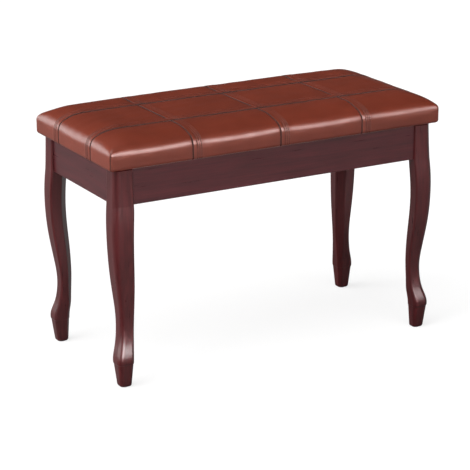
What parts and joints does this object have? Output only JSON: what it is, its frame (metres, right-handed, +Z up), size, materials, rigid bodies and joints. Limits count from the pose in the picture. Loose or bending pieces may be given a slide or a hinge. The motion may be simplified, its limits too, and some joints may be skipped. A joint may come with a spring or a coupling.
{
  "type": "piano bench",
  "caption": "Wooden piano bench with cabriole legs and a padded, panelled flip-up lid over a shallow music compartment, held open by slotted stays.",
  "frame": {"origin": "on the floor, under the middle of the bench", "axes": "+X along the bench's length, to the right as seen from the front; +Y to the hinged rear edge; +Z up"},
  "size_m": [0.762, 0.3504, 0.514],
  "materials": {
    "stained_wood": "satin",
    "bare_wood": "matte",
    "plywood": "matte",
    "hardboard": "matte",
    "seat_leather": "satin",
    "foam": "matte",
    "lining_cloth": "matte",
    "nylon": "satin",
    "bumper_rubber": "matte",
    "plated_steel": "satin",
    "fastener_steel": "satin"
  },
  "bodies": {
    "frame": {"front_left_leg": "stained_wood", "front_right_leg": "stained_wood", "rear_left_leg": "stained_wood", "rear_right_leg": "stained_wood", "front_left_glide": "nylon", "front_right_glide": "nylon", "rear_left_glide": "nylon", "rear_right_glide": "nylon", "front_left_corner_block": "bare_wood", "front_right_corner_block": "bare_wood", "rear_left_corner_block": "bare_wood", "rear_right_corner_block": "bare_wood", "corner_block_screws": "fastener_steel", "leg_hanger_bolts": "fastener_steel", "leg_bolt_washers": "fastener_steel", "leg_wing_nuts": "fastener_steel", "front_apron": "stained_wood", "rear_apron": "stained_wood", "left_apron": "stained_wood", "right_apron": "stained_wood", "bottom_panel": "hardboard", "lid_bumpers": "bumper_rubber", "left_hinge_lower_leaf": "plated_steel", "right_hinge_lower_leaf": "plated_steel", "left_hinge_pin": "plated_steel", "right_hinge_pin": "plated_steel", "hinge_apron_screws": "fastener_steel", "left_stay_rail": "plated_steel", "right_stay_rail": "plated_steel", "stay_rail_screws": "fastener_steel"},
    "lid": {"lid_board": "plywood", "foam_pad": "foam", "seat_cover": "seat_leather", "lid_lining": "lining_cloth", "lining_staples": "fastener_steel", "left_hinge_upper_leaf": "plated_steel", "right_hinge_upper_leaf": "plated_steel", "hinge_lid_screws": "fastener_steel", "left_stay_bracket": "plated_steel", "right_stay_bracket": "plated_steel", "stay_bracket_screws": "fastener_steel", "left_stay_pivot_rivet": "plated_steel", "right_stay_pivot_rivet": "plated_steel"},
    "left_stay": {"left_stay_arm": "plated_steel", "left_stay_stud": "plated_steel"},
    "right_stay": {"right_stay_arm": "plated_steel", "right_stay_stud": "plated_steel"}
  },
  "joints": [
    {"name": "lid_hinge", "type": "hinge", "parent": "frame", "child": "lid", "pos_m": [0, 0.171, 0.452], "axis": [-1, 0, 0], "range_deg": [0, 75]},
    {"name": "left_stay_pivot", "type": "hinge", "parent": "lid", "child": "left_stay", "pos_m": [-0.337, 0.04722, 0.4346], "axis": [-1, 0, 0], "range_deg": [-150, 0]},
    {"name": "right_stay_pivot", "type": "hinge", "parent": "lid", "child": "right_stay", "pos_m": [0.337, 0.04722, 0.4346], "axis": [-1, 0, 0], "range_deg": [-150, 0]}
  ],
  "couplings": [
    {"joint": "left_stay_pivot", "follows": "lid_hinge", "ratio": -2},
    {"joint": "right_stay_pivot", "follows": "lid_hinge", "ratio": -2}
  ]
}
